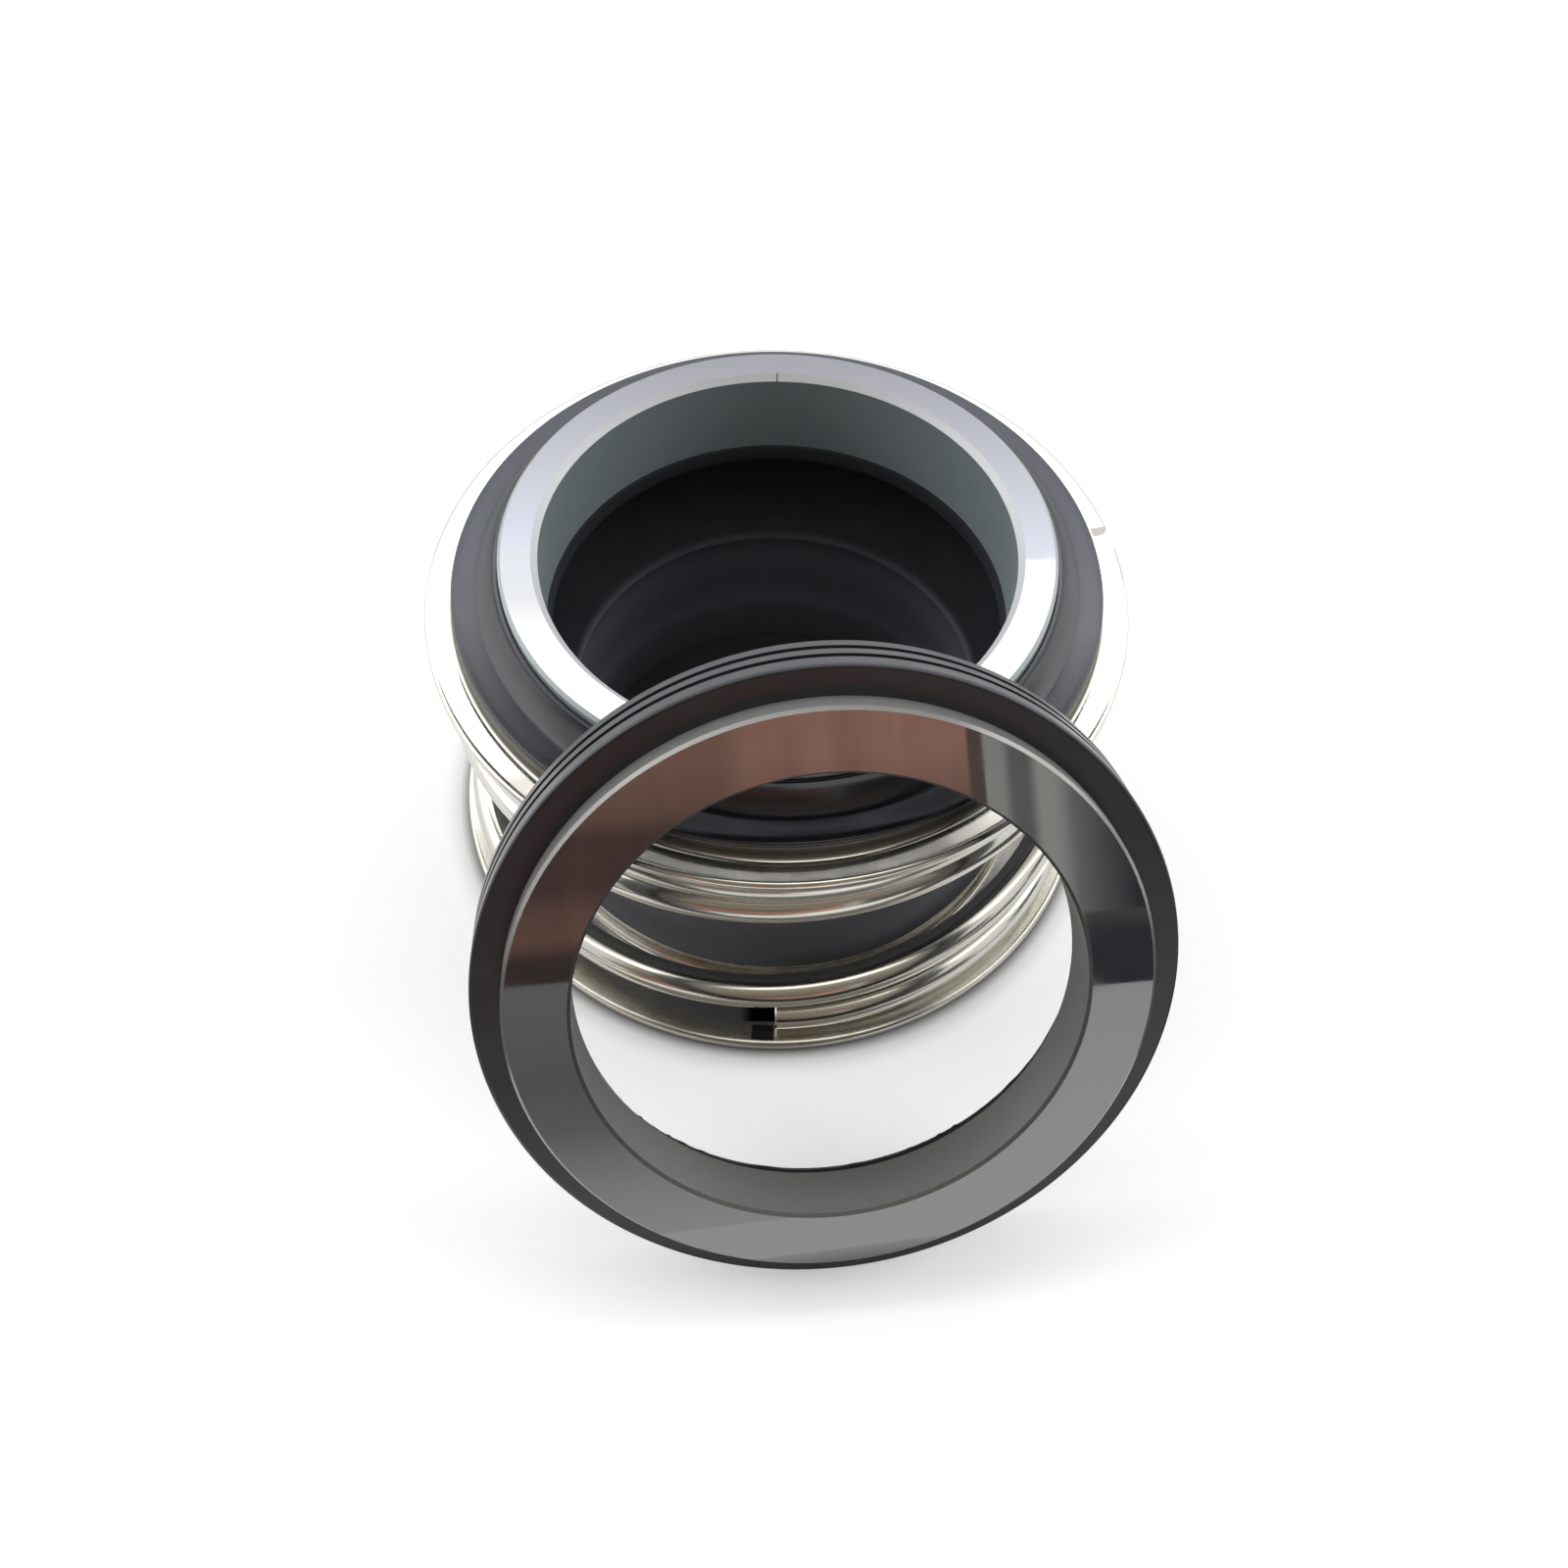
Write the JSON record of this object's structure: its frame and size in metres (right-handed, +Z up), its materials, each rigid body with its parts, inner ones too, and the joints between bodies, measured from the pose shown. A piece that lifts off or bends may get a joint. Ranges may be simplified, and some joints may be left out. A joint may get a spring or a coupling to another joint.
{
  "type": "component mechanical seal",
  "caption": "Rubber bellows shaft seal: sprung rotating head with a lapped face ring, and its rubber-mounted stationary seat leaning on it.",
  "frame": {"origin": "centre of the bellows' tail bore, in the plane of the lower spring ring's underside, which is the surface that the head and the seat stand on", "axes": "+Z up along the shaft axis, from the tail to the sealing face; -Y towards the leaning seat"},
  "size_m": [0.0631, 0.0838, 0.0499],
  "materials": {
    "carbide": "hard grey carbide, faces lapped to a mirror",
    "rubber": "moulded black rubber, satin",
    "pressed_steel": "pressed stainless sheet, bright",
    "spring_wire": "drawn stainless wire, bright"
  },
  "bodies": {
    "base": {"lower_spring_ring": "pressed_steel", "coil_spring": "spring_wire", "bellows": "rubber", "seat_ring": "carbide", "seat_cup": "rubber"},
    "head": {"face_ring": "carbide", "upper_spring_ring": "pressed_steel"}
  },
  "joints": [
    {"name": "axial_travel", "type": "slide", "parent": "base", "child": "head", "axis": [0, 0, 1], "range_m": [-0.005, 0], "stiffness_N_per_m": 8000, "springref_m": 0.0002, "deforming": ["coil_spring", "bellows"]}
  ]
}
